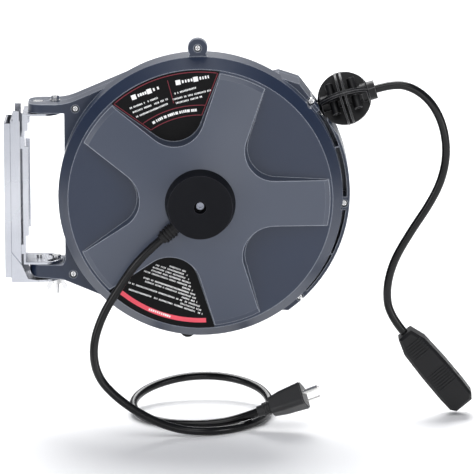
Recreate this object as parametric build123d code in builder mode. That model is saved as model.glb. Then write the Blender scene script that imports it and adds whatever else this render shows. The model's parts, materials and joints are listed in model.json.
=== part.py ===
"""Wall-held retractable extension cord reel, in millimetres.

Frame: +Z up, +X from the wall towards the cord outlet, -Y towards the front cover.
The origin is the centre of the wall plate's four screw holes, on the plate's back.
"""
from build123d import *
from math import cos, pi, radians, sin, tan
import os

os.makedirs("parts", exist_ok=True)

# ---------------------------------------------------------------- driving dimensions
hub_x, hub_z = 218.0, 11.0          # drum axis, which runs along Y
ring_r = 157.0                      # outside of the round casing's front rim
wall = 3.4                          # casing wall
front_depth = 69.0                  # parting plane to the flat front face
rear_depth = 62.0                   # parting plane to the flat back face
parting_r = 152.4                   # outside at the parting plane, where both halves taper to
front_rim = (19.0, 55.0)            # depths between which the outside is ring_r
lip_r = 165.5                       # outer guard rim round the outlet side
lip_depth = 35.0
lip_start, lip_end = -54.0, 47.5    # degrees round the drum axis
facet_angle, facet_distance = 36.87, 160.9

pivot_x = 37.0                      # upright swivel axis, at Y 0
lock_x = pivot_x + 19.3             # lock bolt that rides in the arc slot
ear_half = 24.0                     # ears and neck, each side of the parting plane
ear_end = -191.5                    # free end of the ears, from the drum axis
upper_ear = (87.5, 97.5)            # heights from the drum axis
lower_ear = (-98.0, -84.5)
swing = 45.0                        # degrees each way
slot_sweep = swing + 3.0

axle_r = 11.0
flange_r = 128.0
core_r = 78.0
core_back, core_front = -41.5, 45.0  # inside faces of the drum flanges
sheet = 2.5                          # drum flange and bracket sheet

cord_r = 4.7                         # 14 AWG three-core cord
outlet_angle = 17.0                  # cord's climb where it leaves the casing
ball_r = 30.0
ball_core_r = 9.0
ball_roll = 23.0                     # turn of the split line about the cord

plate_half_width = 26.0
plate_half_height = 87.5
plate_screw_y, plate_screw_z = 28.0, 140.0
plate_hole_r = 3.5

# ---------------------------------------------------------------- planes and helpers
reel = Plane(origin=(hub_x, 0, hub_z), x_dir=(1, 0, 0), z_dir=(0, -1, 0))
section = Plane(origin=(hub_x, 0, hub_z), x_dir=(1, 0, 0), z_dir=(0, 0, -1))
drum_axis = Axis((hub_x, 0, hub_z), (0, -1, 0))
outlet_dir = Vector(cos(radians(outlet_angle)), 0, sin(radians(outlet_angle)))
ball_centre = Vector(hub_x + 159.5, 0, hub_z + 99.9)


def polar(radius, angle):
    return (radius * cos(radians(angle)), radius * sin(radians(angle)))


def turned(*points):
    """Solid of revolution about the drum axis, from (radius, depth) corners."""
    with BuildPart() as piece:
        with BuildSketch(section):
            with BuildLine():
                Polyline(*points, close=True)
            make_face()
        revolve(axis=drum_axis)
    return piece


def washer_disc(inner, outer, back, front):
    return turned((inner, back), (outer, back), (outer, front), (inner, front))


def rod(plane, radius, length):
    with BuildPart() as piece:
        with BuildSketch(plane):
            Circle(radius)
        extrude(amount=length)
    return piece


def cord_tube(points, radius):
    """Round cord: straight runs joined by the largest tangent arcs that fit."""
    points = [Vector(*p) for p in points]
    runs = [b - a for a, b in zip(points, points[1:])]
    radii = []
    for before, after in zip(runs, runs[1:]):
        half_turn = radians(before.get_angle(after) / 2)
        radii.append(0.45 * min(before.length, after.length) / tan(half_turn))
    print("arc radii", [round(r) for r in radii])
    with BuildPart() as tube:
        with BuildLine() as path:
            FilletPolyline(*points, radius=radii)
        with BuildSketch(Plane(origin=points[0], z_dir=runs[0].normalized())):
            Circle(radius)
        sweep(path=path.line)
    length = path.wires()[0].length
    ratio = tube.part.volume / (pi * radius**2 * length)
    print("cord length", round(length, 1), "volume ratio", round(ratio, 4))
    return tube


# ---------------------------------------------------------------- casing arms: neck and ears
hollow_inset = 3.0
neck_screws = ((-138.6, 92.7), (-142.3, -95.1))
web_x = -151.0

with BuildPart() as arms:
    with BuildSketch(reel.offset(-ear_half)):
        with BuildLine():
            Polyline(
                (ear_end, upper_ear[1]),
                (-150, upper_ear[1]),
                (-60, 136),
                (-54, 128),
                (-50, -136),
                (-58, -141),
                (-154, -101),
                (ear_end, lower_ear[0]),
                (ear_end, lower_ear[1]),
                (-154, lower_ear[1]),
                (web_x, -78),
                (web_x, upper_ear[0]),
                (ear_end, upper_ear[0]),
                close=True,
            )
        make_face()
        fillet(vertices().sort_by_distance((-150, upper_ear[1]))[0], 60)
        fillet(vertices().sort_by_distance((ear_end, lower_ear[0]))[0], 9)
    extrude(amount=2 * ear_half)
    with BuildSketch(Plane.XY.offset(hub_z - 140)):
        with Locations((hub_x + ear_end / 2, 0)):
            Rectangle(-ear_end, 2 * ear_half)
        fillet(vertices().sort_by(Axis.X)[:2], 16)
    extrude(amount=280, mode=Mode.INTERSECT)
    with BuildSketch(reel.offset(hollow_inset - ear_half)):
        with BuildLine():
            Polyline(
                (web_x + wall, upper_ear[1] - hollow_inset),
                (-96, 117),
                (-96, -121),
                (web_x + wall, -97),
                close=True,
            )
        make_face()
        with Locations(*neck_screws):
            Circle(7, mode=Mode.SUBTRACT)
    extrude(amount=2 * (ear_half - hollow_inset), mode=Mode.SUBTRACT)

# pocket shape between two spokes of the raised star
spoke_angles = [-1.2 + 72 * k for k in range(5)]
pocket_vertex = 49.4
pocket_half_angle = 37.5
pocket_fillet = 32.0
star_rim_r = 142.5
star_rim_depth, star_hub_depth = 73.0, 91.0
star_hub_r = 39.0


def star_body(drop, margin):
    """Five-spoke raised star; drop lowers it and margin narrows it, for its hollow."""
    with BuildPart() as star:
        with BuildSketch(section):
            with BuildLine():
                Polyline(
                    (0, front_depth - drop - 2),
                    (star_rim_r - margin, front_depth - drop - 2),
                    (star_rim_r - margin, front_depth - drop + 1),
                    (star_rim_r - margin - 5, star_rim_depth - drop),
                    (star_hub_r, star_hub_depth - drop),
                    (0, star_hub_depth - drop),
                    close=True,
                )
            make_face()
        revolve(axis=drum_axis)
        for angle in spoke_angles:
            middle = angle + 36
            start = pocket_vertex - margin / sin(radians(pocket_half_angle))
            with BuildSketch(reel.offset(front_depth - drop - 3)):
                with BuildLine():
                    left = (Vector(*polar(start, middle)) + Vector(*polar(130, middle + pocket_half_angle)))
                    right = (Vector(*polar(start, middle)) + Vector(*polar(130, middle - pocket_half_angle)))
                    Polyline(polar(start, middle), (left.X, left.Y), (right.X, right.Y), close=True)
                make_face()
                fillet(vertices().sort_by_distance(polar(start, middle))[0], pocket_fillet + margin)
            extrude(amount=30, taper=-9, mode=Mode.SUBTRACT)
    return star


star_outside = star_body(0, 0)
star_wall = 3.0
star_inside = star_body(star_wall, wall)

case_screw_spots = [polar(159.8, 40.3), polar(159.3, -4.2), polar(161.5, -47.1), *neck_screws]
case_screw_faces = [lip_depth, lip_depth, lip_depth, ear_half, ear_half]
top_lug = polar(166, 91)
lug_depths = (23.0, 45.0, 53.0)     # column's back end, knob's back and knob's face
bottom_lug = polar(157.5, 264.6)
screw_r, screw_head_r = 2.0, 3.8
screw_reach = 12.0                  # how far the casing screws go past the parting plane
outlet_spot = Vector(132.4, 91.6)
mouth_r = 11.0
outlet_plane = Plane(
    origin=(hub_x + outlet_spot.X, 0, hub_z + outlet_spot.Y), x_dir=(0, -1, 0), z_dir=outlet_dir
)


def outlet_side(start, end):
    """Wedge, in the plane of the reel, that keeps a ring's part between two angles."""
    return Polygon((0, 0), polar(260, start), (260, 0), polar(260, end), align=None, mode=Mode.PRIVATE)


def facet_cutter():
    """Block beyond the flat facet that the cord outlet is in."""
    with BuildPart() as block:
        with BuildSketch(reel.offset(-80)):
            with Locations(polar(facet_distance + 20, facet_angle)):
                Rectangle(40, 90, rotation=facet_angle)
        extrude(amount=160)
    return block


facet = facet_cutter()


def outer_case(direction, profile, lip):
    """Outside of one casing half: ring, neck and lip; direction +1 is the front."""
    with BuildPart() as half:
        add(turned(*profile).part)
        add(arms.part)
        with BuildSketch(reel):
            Circle(lip_r)
            Circle(parting_r - 4, mode=Mode.SUBTRACT)
            add(outlet_side(lip_start, lip_end), mode=Mode.INTERSECT)
            Polygon(polar(147, 60), polar(156.3, 56.5), polar(165.5, lip_end), polar(147, 45), align=None)
            Polygon(polar(147, -50), polar(165.5, lip_start), polar(156.3, -58), polar(147, -60), align=None)
        extrude(amount=direction * lip)
        add(facet.part, mode=Mode.SUBTRACT)
    return half


def rim_slots(direction, lip):
    """Deep slots between the ring wall and the lip, with thin cross ribs left standing."""
    with BuildPart() as slots:
        with BuildSketch(reel.offset(direction * 4)):
            Circle(lip_r - 3.6)
            Circle(ring_r + 0.2, mode=Mode.SUBTRACT)
            add(outlet_side(-43.5, 35.5), mode=Mode.INTERSECT)
            for angle in (-4.2, 19.0, -25.5):
                width = 15 if angle == -4.2 else 1.6
                with Locations(polar(160, angle)):
                    Rectangle(16, width, rotation=angle, mode=Mode.SUBTRACT)
        extrude(amount=direction * (lip - 3))
    return slots


def parting_block(direction):
    """Everything on one side of the parting plane, to cut a half back to its own side."""
    with BuildPart() as block:
        with Locations((hub_x, -direction * 100, hub_z)):
            Box(500, 200, 500)
    return block


# swivel bores, bolt recesses, cord mouth and ball seat, which both halves share
pivot_bore_r, bolt_r = 3.06, 3.0
bolt_recess_r = 7.0
with BuildPart() as shared_ways:
    for x, radius in ((pivot_x, pivot_bore_r), (lock_x, bolt_r + 0.02)):
        with BuildSketch(Plane.XY.offset(hub_z + upper_ear[0] - 1)):
            with Locations((x, 0)):
                Circle(radius)
        extrude(amount=20)
        with BuildSketch(Plane.XY.offset(hub_z + lower_ear[0] - 5)):
            with Locations((x, 0)):
                Circle(radius)
        extrude(amount=20)
    with BuildSketch(Plane.XY.offset(hub_z + upper_ear[1] - 4)):
        with Locations((pivot_x, 0)):
            Circle(bolt_recess_r)
    extrude(amount=10)
    with BuildSketch(Plane.XY.offset(hub_z + upper_ear[1])):
        with Locations((lock_x, 0)):
            Circle(bolt_recess_r)
    extrude(amount=6)
    with BuildSketch(outlet_plane.offset(-22)):
        Circle(mouth_r + 0.05)
    extrude(amount=46)
    with Locations(ball_centre):
        Sphere(ball_r + 0.4)

# ---------------------------------------------------------------- front casing half
cap_base_r, cap_front_r = 38.8, 35.4
cap_depth = 110.5
front_profile = [
    (0, 0),
    (parting_r, 0),
    (ring_r, front_rim[0]),
    (ring_r, front_rim[1]),
    (ring_r - 11.2, front_depth),
    (0, front_depth),
]
front_cavity = [
    (0, -1),
    (parting_r - wall, -1),
    (ring_r - wall, front_rim[0]),
    (ring_r - wall, front_rim[1] - 1.4),
    (ring_r - 12.6, front_depth - wall),
    (0, front_depth - wall),
]
with BuildPart() as front_case:
    add(outer_case(1, front_profile, lip_depth).part)
    # screw lug on top: round knob at the front rim, on a slim column and web
    with BuildSketch(reel.offset(lug_depths[0])):
        with Locations(top_lug):
            Circle(4.4)
        Polygon(polar(166, 91.6), polar(150, 91.6), polar(150, 90.4), polar(166, 90.4), align=None)
    extrude(amount=lug_depths[2] - lug_depths[0])
    with BuildSketch(reel.offset(lug_depths[1])):
        with Locations(top_lug):
            Circle(10.9)
        Polygon(polar(160, 94.2), polar(150, 96), polar(150, 86), polar(160, 87.8), align=None)
    extrude(amount=lug_depths[2] - lug_depths[1])
    add(star_outside.part)
    add(turned(*front_cavity).part, mode=Mode.SUBTRACT)
    add(star_inside.part, mode=Mode.SUBTRACT)
    add(rim_slots(1, lip_depth).part, mode=Mode.SUBTRACT)
    add(parting_block(-1).part, mode=Mode.SUBTRACT)
    add(shared_ways.part, mode=Mode.SUBTRACT)
    # boss that holds the axle's front end, and the way in for the mains lead
    with BuildSketch(reel.offset(70)):
        Circle(17)
    extrude(amount=20)
    with BuildSketch(reel.offset(60)):
        Circle(axle_r + 0.02)
    extrude(amount=24, mode=Mode.SUBTRACT)
    with BuildSketch(reel.offset(60)):
        Circle(2.6)
    extrude(amount=40, mode=Mode.SUBTRACT)
    with BuildSketch(reel.offset(60)):
        with Locations(polar(24, 221.2)):
            Circle(5)
    extrude(amount=40, mode=Mode.SUBTRACT)
    # screw ways
    for spot, face in zip(case_screw_spots, case_screw_faces):
        with BuildSketch(reel.offset(-1)):
            with Locations(spot):
                Circle(screw_r + 0.1)
        extrude(amount=60, mode=Mode.SUBTRACT)
        with BuildSketch(reel.offset(face - 4)):
            with Locations(spot):
                Circle(screw_head_r + 0.5)
        extrude(amount=60, mode=Mode.SUBTRACT)
    with BuildSketch(reel.offset(lug_depths[0] + 1)):
        with Locations(top_lug):
            Circle(screw_r + 0.1)
    extrude(amount=40, mode=Mode.SUBTRACT)
    with BuildSketch(reel.offset(lug_depths[2] - 4)):
        with Locations(top_lug):
            Circle(screw_head_r + 0.5)
    extrude(amount=10, mode=Mode.SUBTRACT)


# ---------------------------------------------------------------- rear casing half
rear_lip_depth = 16.0
back_edge_r, back_face_r = 140.0, 131.0
rear_profile = [
    (0, 0),
    (parting_r, 0),
    (back_edge_r, 10 - rear_depth),
    (back_face_r, -rear_depth),
    (0, -rear_depth),
]
rear_cavity = [
    (0, 1),
    (parting_r - wall, 1),
    (back_edge_r - wall, 11 - rear_depth),
    (back_face_r - 1.5, wall - rear_depth),
    (0, wall - rear_depth),
]
with BuildPart() as rear_case:
    add(outer_case(-1, rear_profile, rear_lip_depth).part)
    add(turned(*rear_cavity).part, mode=Mode.SUBTRACT)
    add(rim_slots(-1, rear_lip_depth).part, mode=Mode.SUBTRACT)
    # raised hub disc and spokes on the back
    with BuildSketch(reel.offset(-rear_depth - 3)):
        Circle(36)
        with PolarLocations(80, 5, start_angle=90):
            Rectangle(110, 12)
        Circle(back_face_r - 4, mode=Mode.INTERSECT)
    extrude(amount=4)
    # boss that holds the axle's back end
    with BuildSketch(reel.offset(-rear_depth)):
        Circle(17)
    extrude(amount=14)
    with BuildSketch(reel.offset(-57)):
        Circle(axle_r + 0.02)
    extrude(amount=30, mode=Mode.SUBTRACT)
    with BuildSketch(reel.offset(wall - rear_depth - 1)):
        with Locations((0, -78)):
            Circle(6)
    extrude(amount=2.6)
    with BuildSketch(reel.offset(-60)):
        with Locations((0, -78)):
            Circle(2.52)
    extrude(amount=10, mode=Mode.SUBTRACT)
    with BuildSketch(reel.offset(-screw_reach - 1)):
        with Locations(*case_screw_spots):
            Circle(screw_r + 0.1)
    extrude(amount=30, mode=Mode.SUBTRACT)
    add(parting_block(1).part, mode=Mode.SUBTRACT)
    add(shared_ways.part, mode=Mode.SUBTRACT)

with BuildPart() as case_screws:
    tips = [-screw_reach] * len(case_screw_spots)
    for spot, face, tip in zip(
        (*case_screw_spots, top_lug), (*case_screw_faces, lug_depths[2]), (*tips, lug_depths[0] + 2)
    ):
        with BuildSketch(reel.offset(face - 4)):
            with Locations(spot):
                Circle(screw_head_r)
        extrude(amount=2.6)
        with BuildSketch(reel.offset(tip)):
            with Locations(spot):
                Circle(screw_r)
        extrude(amount=face - 4 - tip)

with BuildPart() as bottom_bumper:
    with BuildSketch(reel.offset(front_rim[0])):
        with Locations(bottom_lug):
            Circle(8.8)
        Polygon(polar(162, 261.5), polar(156, 259), polar(156, 270), polar(162, 267.7), align=None)
        Circle(ring_r + 0.02, mode=Mode.SUBTRACT)
    extrude(amount=12)

# ---------------------------------------------------------------- hub cap and labels
cap_floor = cap_depth - 12.0
with BuildPart() as hub_cap:
    with BuildSketch(section):
        with BuildLine():
            Polyline(
                (2.6, star_hub_depth),
                (9.5, star_hub_depth),
                (9.5, cap_depth - 2.5),
                (cap_front_r - 2.5, cap_depth - 2.5),
                (cap_base_r - 2.5, star_hub_depth),
                (cap_base_r, star_hub_depth),
                (cap_front_r, cap_depth),
                (7, cap_depth),
                (7, cap_floor),
                (2.6, cap_floor),
                close=True,
            )
        make_face()
    revolve(axis=drum_axis)
    relief_dir = Vector(*polar(1, 221.2))
    relief_plane = Plane(
        origin=(hub_x + 28 * relief_dir.X, -101, hub_z + 28 * relief_dir.Y),
        x_dir=(0, -1, 0),
        z_dir=(relief_dir.X, 0, relief_dir.Y),
    )
    with BuildSketch(relief_plane):
        Circle(7.45)
    extrude(amount=20, mode=Mode.SUBTRACT)

hub_screw_plane = reel.offset(72)
with BuildPart() as hub_screw:
    with BuildSketch(hub_screw_plane):
        Circle(2.3)
    extrude(amount=cap_floor - 72)
    with BuildSketch(reel.offset(cap_floor)):
        Circle(4.15)
    extrude(amount=3.2)
    with BuildSketch(reel.offset(cap_floor + 3.2)):
        RegularPolygon(2.2, 6)
    extrude(amount=-1.8, mode=Mode.SUBTRACT)


rib_height = 1.5


def strain_relief(plane, length, start_r, end_r, ribs):
    """Tapered flexible grommet with raised ribs round its outer part."""
    with BuildPart() as relief:
        with BuildSketch(plane):
            Circle(start_r)
        with BuildSketch(plane.offset(length)):
            Circle(end_r)
        loft()
        for k in range(ribs):
            along = 0.42 + 0.52 * k / ribs
            with BuildSketch(plane.offset(length * along)):
                Circle(start_r + (end_r - start_r) * along + rib_height)
            extrude(amount=length * 0.27 / ribs)
    return relief


hub_strain_relief = strain_relief(relief_plane, 28.5, 7.4, 6.2, 4)


label_r = 145.0


def sector_plate(middle, thickness):
    """Thin printed plate that lies in one pocket of the front cover."""
    tip = pocket_vertex + 0.8
    left = Vector(*polar(tip, middle)) + Vector(*polar(130, middle + pocket_half_angle))
    right = Vector(*polar(tip, middle)) + Vector(*polar(130, middle - pocket_half_angle))
    with BuildPart() as plate:
        with BuildSketch(reel.offset(front_depth)):
            Polygon(polar(tip, middle), (left.X, left.Y), (right.X, right.Y), align=None)
            fillet(vertices().sort_by_distance(polar(tip, middle))[0], pocket_fillet - 0.5)
            Circle(label_r, mode=Mode.INTERSECT)
        extrude(amount=thickness)
    return plate


upper_label = sector_plate(spoke_angles[1] + 36, 0.5)
lower_label = sector_plate(spoke_angles[3] + 36, 0.5)

# ---------------------------------------------------------------- drum, on its fixed axle
with BuildPart() as axle:
    with BuildSketch(reel.offset(-57)):
        Circle(axle_r)
    extrude(amount=57 + 83.9)
    with BuildSketch(reel.offset(70)):
        Circle(2.4)
    extrude(amount=20, mode=Mode.SUBTRACT)

drum_core = washer_disc(core_r - 4, core_r, core_back, core_front)


def drum_flange(inside, direction):
    """Drum end plate with its bearing hub and lightening holes."""
    with BuildPart() as flange:
        with BuildSketch(reel.offset(inside)):
            Circle(flange_r)
            Circle(15.5, mode=Mode.SUBTRACT)
            with PolarLocations(104, 6):
                Circle(13, mode=Mode.SUBTRACT)
        extrude(amount=direction * sheet)
        with BuildSketch(reel.offset(inside - direction * 3)):
            Circle(22)
            Circle(15.5, mode=Mode.SUBTRACT)
        extrude(amount=direction * 8)
    return flange


drum_front_flange = drum_flange(core_front, 1)
drum_rear_flange = drum_flange(core_back, -1)
front_bush = washer_disc(axle_r + 0.05, 15.5, core_front - 4, core_front + 5)
rear_bush = washer_disc(axle_r + 0.05, 15.5, core_back - 5, core_back + 4)

spring_case = turned((13, -36), (73.5, -36), (73.5, -2), (70, -2), (70, -34), (13, -34))
spring_cover = washer_disc(13, 73.5, -1.9, 0.1)

# flat spiral power spring, wound by a loop from the axle out to its case
spring_turns, spring_strip = 9, 1.2
spiral = [
    (13.0 + 55.0 * k / (24 * spring_turns), 15.0 * k)
    for k in range(24 * spring_turns + 1)
]
with BuildPart() as power_spring:
    with BuildSketch(reel.offset(-33.5)):
        with BuildLine():
            inner_edge = Spline(*[polar(radius, angle) for radius, angle in spiral])
            outer_edge = Spline(*[polar(radius + spring_strip, angle) for radius, angle in spiral])
            Line(inner_edge @ 0, outer_edge @ 0)
            Line(inner_edge @ 1, outer_edge @ 1)
        make_face()
    extrude(amount=31)

with BuildPart() as slip_ring_carrier:
    with BuildSketch(reel.offset(core_front + 5)):
        Circle(40)
        Circle(15.5, mode=Mode.SUBTRACT)
    extrude(amount=10)

ring_radii = (20.5, 28.0, 35.5)
with BuildPart() as slip_rings:
    for radius in ring_radii:
        with BuildSketch(reel.offset(core_front + 15)):
            Circle(radius + 2)
            Circle(radius - 2, mode=Mode.SUBTRACT)
        extrude(amount=1.5)

brush_back = core_front + 16.8
with BuildPart() as brush_holder:
    with BuildSketch(reel.offset(brush_back + 3)):
        with Locations((28, 0)):
            Rectangle(20, 16)
        with Locations(*[(radius, 0) for radius in ring_radii]):
            Rectangle(3.1, 5.1, mode=Mode.SUBTRACT)
    extrude(amount=star_hub_depth - star_wall - brush_back - 3)

with BuildPart() as brushes:
    with BuildSketch(reel.offset(brush_back)):
        with Locations(*[(radius, 0) for radius in ring_radii]):
            Rectangle(3, 5)
    extrude(amount=12)

# cord wound on the drum, nine turns wide
wound_turns = 9
turn_pitch = (core_front - core_back - 0.8) / wound_turns
with BuildPart() as wound_cord:
    with BuildSketch(section):
        with Locations((core_r + 10.3, (core_front + core_back) / 2)):
            Rectangle(20, core_front - core_back - 0.8)
        for k in range(wound_turns):
            with Locations((core_r + 20, core_back + 0.4 + turn_pitch * (k + 0.5))):
                Circle(cord_r)
    revolve(axis=drum_axis)

# ratchet ring on the drum and the sprung pawl on the rear casing
ratchet_teeth, ratchet_root, ratchet_tip = 12, 54.0, 62.0
ratchet_phase = 4.0
tooth_points = []
for k in range(ratchet_teeth):
    tooth_points.append(polar(ratchet_root, ratchet_phase + 30 * k))
    tooth_points.append(polar(ratchet_tip, ratchet_phase + 30 * k + 24))
    tooth_points.append(polar(ratchet_tip, ratchet_phase + 30 * k + 29.5))
with BuildPart() as ratchet_ring:
    with BuildSketch(reel.offset(-51)):
        Polygon(*tooth_points, align=None)
        Circle(48, mode=Mode.SUBTRACT)
    extrude(amount=51 + core_back - sheet)

pawl_pin_spot = (0, -78)
with BuildPart() as pawl:
    with BuildSketch(reel.offset(-50.5)):
        with Locations(pawl_pin_spot):
            Circle(6.5)
        Polygon((-3, -72), (-23.8, -61), (-26.5, -61.6), (-27, -64.5), (-4, -83.2), align=None)
        with Locations(pawl_pin_spot):
            Circle(2.56, mode=Mode.SUBTRACT)
    extrude(amount=4)

pawl_pin_base = reel.offset(-60).from_local_coords(Vector(*pawl_pin_spot, 0))
pawl_pin = rod(Plane(pawl_pin_base, x_dir=(1, 0, 0), z_dir=(0, -1, 0)), 2.5, 15.2)

with BuildPart() as pawl_spring:
    coil_base = reel.offset(-56).from_local_coords(Vector(*pawl_pin_spot, 0))
    with BuildLine() as coil_path:
        Helix(pitch=1.5, height=4.2, radius=4.4, center=coil_base, direction=(0, -1, 0))
    with BuildSketch(Plane(origin=coil_path.line @ 0, z_dir=coil_path.line % 0)):
        Circle(0.5)
    sweep(path=coil_path.line, is_frenet=True)

# ---------------------------------------------------------------- cord outlet with guide rollers
roller_r, roller_gap = 5.0, 0.35
roller_offset = cord_r + roller_gap + roller_r
cross_depth, upright_depth = -26.0, -38.0
frame_reach = 143.0                  # keeps the frame inside the casing's tapered wall
with BuildPart() as outlet_frame:
    with BuildSketch(outlet_plane.offset(-44.5)):
        Rectangle(44, 38)
    extrude(amount=25)
    with BuildSketch(reel.offset(-30)):
        Circle(frame_reach)
    extrude(amount=60, mode=Mode.INTERSECT)
    with BuildSketch(outlet_plane.offset(-44.5)):
        Rectangle(31, 26.4)
    extrude(amount=12.5, mode=Mode.SUBTRACT)
    with BuildSketch(outlet_plane.offset(-32)):
        Rectangle(26.4, 31)
    extrude(amount=11, mode=Mode.SUBTRACT)
    with BuildSketch(outlet_plane.offset(-20)):
        Circle(mouth_r)
    extrude(amount=17)
    with BuildSketch(outlet_plane.offset(-22)):
        Circle(7.5)
    extrude(amount=20, mode=Mode.SUBTRACT)
    chamfer(edges().filter_by(GeomType.CIRCLE).sort_by_distance(ball_centre)[:1], 3)
    for side in (-1, 1):
        origin = outlet_plane.from_local_coords(Vector(0, side * roller_offset, cross_depth))
        with BuildSketch(Plane(origin=origin, x_dir=outlet_dir, z_dir=(0, -1, 0)).offset(-20)):
            Circle(2.02)
        extrude(amount=40, mode=Mode.SUBTRACT)
        origin = outlet_plane.from_local_coords(Vector(side * roller_offset, 0, upright_depth))
        with BuildSketch(Plane(origin=origin, x_dir=outlet_dir, z_dir=outlet_plane.y_dir).offset(-17)):
            Circle(2.02)
        extrude(amount=34, mode=Mode.SUBTRACT)


def guide_roller(x, y, z, along):
    """Spool-shaped roller with its own stub journals, across the cord."""
    origin = outlet_plane.from_local_coords(Vector(x, y, z))
    base = Plane(origin=origin, x_dir=outlet_dir, z_dir=along)
    with BuildPart() as roller:
        with BuildSketch(base.offset(-12.8)):
            Circle(roller_r)
        extrude(amount=25.6)
        with BuildSketch(base.offset(-16)):
            Circle(2.0 - 0.03)
        extrude(amount=32)
    return roller


roller_above = guide_roller(0, -roller_offset, cross_depth, (0, -1, 0))
roller_below = guide_roller(0, roller_offset, cross_depth, (0, -1, 0))
roller_front = guide_roller(roller_offset, 0, upright_depth, outlet_plane.y_dir)
roller_rear = guide_roller(-roller_offset, 0, upright_depth, outlet_plane.y_dir)

# ---------------------------------------------------------------- ball stop on the cord
roll = radians(ball_roll)
climb = radians(outlet_angle)
ball_normal = Vector(-sin(climb) * cos(roll), sin(roll), cos(climb) * cos(roll))
ball_plane = Plane(origin=ball_centre, x_dir=outlet_dir, z_dir=ball_normal)
boss_spots = [(sx * 12.5, sy * 12.5) for sx in (-1, 1) for sy in (-1, 1)]
collar_end = 36.0
seam_half, disc_half, boss_end = 2.6, 1.3, 17.5
rib_inner, rib_outer, end_cap_x = 1.7, 3.9, 26.0


def ball_half(side):
    """One clamping half of the ribbed ball; side +1 is the upper one."""
    with BuildPart() as half:
        with Locations(ball_plane):
            Sphere(ball_r)
        for start, end in ((-end_cap_x, -rib_outer), (-rib_inner, rib_inner), (rib_outer, end_cap_x)):
            spots = [
                Location(((start + end) / 2, sy * (disc_half + ball_r / 2), side * (seam_half + ball_r / 2)))
                for sy in (-1, 1)
            ]
            with Locations(*[ball_plane * spot for spot in spots]):
                Box(end - start, ball_r, ball_r, mode=Mode.SUBTRACT)
        with BuildSketch(Plane(origin=ball_centre, x_dir=(0, -1, 0), z_dir=outlet_dir).offset(-end_cap_x)):
            Circle(ball_core_r)
        extrude(amount=2 * end_cap_x)
        with BuildSketch(ball_plane):
            with Locations(*boss_spots):
                Circle(4.6)
        extrude(amount=side * boss_end)
        with BuildSketch(Plane(origin=ball_centre, x_dir=(0, -1, 0), z_dir=outlet_dir).offset(20)):
            Circle(10.5)
        extrude(amount=collar_end - 20)
        with BuildSketch(ball_plane.offset(side * 12)):
            with Locations(*boss_spots):
                Circle(3.1)
        extrude(amount=side * 20, mode=Mode.SUBTRACT)
        with BuildSketch(ball_plane.offset(-20)):
            with Locations(*boss_spots):
                Circle(1.6)
        extrude(amount=40, mode=Mode.SUBTRACT)
        with BuildSketch(Plane(origin=ball_centre, x_dir=(0, -1, 0), z_dir=outlet_dir).offset(-40)):
            Circle(cord_r + 0.03)
        extrude(amount=80, mode=Mode.SUBTRACT)
        with Locations(ball_plane * Location((0, 0, side * (0.1 - 40)))):
            Box(120, 80, 80, mode=Mode.SUBTRACT)
    return half


stop_ball_upper = ball_half(1)
stop_ball_lower = ball_half(-1)

with BuildPart() as stop_ball_screws:
    with BuildSketch(ball_plane.offset(-12)):
        with Locations(*boss_spots):
            Circle(1.5)
    extrude(amount=26)
    with BuildSketch(ball_plane.offset(-12)):
        with Locations(*boss_spots):
            Circle(2.9)
            RegularPolygon(1.5, 6, mode=Mode.SUBTRACT)
    extrude(amount=-2.5)

# ---------------------------------------------------------------- cords
lead_in_start = outlet_plane.from_local_coords(Vector(0, 0, -52))
collar_point = ball_centre + outlet_dir * collar_end
lead_in_plane = Plane(origin=lead_in_start, x_dir=(0, -1, 0), z_dir=outlet_dir)
lead_in_cord = rod(lead_in_plane, cord_r, (collar_point - lead_in_start).length)

outlet_route = [
    (411.927, 0, 121.425),
    (432.9, 0, 127.837),
    (455.5, -1, 122.5),
    (475, -1, 106),
    (487.5, -2, 81),
    (492, -2, 50.5),
    (487, -2, 20),
    (474, -1, -8),
    (452, 1, -42),
    (433, 2, -76),
    (425.5, 1, -108),
    (429.5, 0, -137),
    (446.5, 0, -157.5),
]
outlet_cord = cord_tube(outlet_route, cord_r)

mains_route = [
    (175.489, -101, -26.216),
    (151.788, -101, -46.965),
    (130, -96, -80),
    (109.5, -98, -113.5),
    (99, -102, -148),
    (104, -106, -180),
    (125, -107, -204),
    (156, -103, -227),
    (193, -97, -244),
    (231, -93, -247),
    (266.5, -71.5, -247),
    (291, -33, -246),
    (297, 5, -241),
    (289, 31, -233),
    (266.5, 55.5, -228),
    (233.5, 68, -225),
    (197, 65.5, -226),
    (164, 49, -231),
    (144, 24, -237),
    (139.5, -7, -242),
    (152, -35, -246),
    (175, -55, -247),
    (201, -63, -247),
    (229, -62.5, -246.5),
    (256, -58, -243.5),
    (282, -61, -232.8),
]
mains_lead = cord_tube(mains_route, cord_r)

# ---------------------------------------------------------------- plug on the mains lead
blade_gap, pin_offset = 12.7, 11.9       # grounded 15 A pattern
plug_start = Vector(*mains_route[-1])
plug_dir = (plug_start - Vector(*mains_route[-2])).normalized()
plug_down = Vector(plug_dir.Z, 0, -plug_dir.X).normalized()
plug_roll = radians(38)
plug_across = plug_down * cos(plug_roll) + plug_dir.cross(plug_down) * -sin(plug_roll)
plug_plane = Plane(origin=plug_start, x_dir=plug_across, z_dir=plug_dir)
pin_side = 1 if plug_plane.y_dir.Y < 0 else -1
relief_length, plug_length = 16.0, 40.0
plug_face = plug_plane.offset(relief_length + plug_length)
blade_line, pin_line = -5.0 * pin_side, (pin_offset - 5.0) * pin_side

plug_relief = strain_relief(plug_plane, relief_length, 6.4, 6.4, 3)

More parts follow.
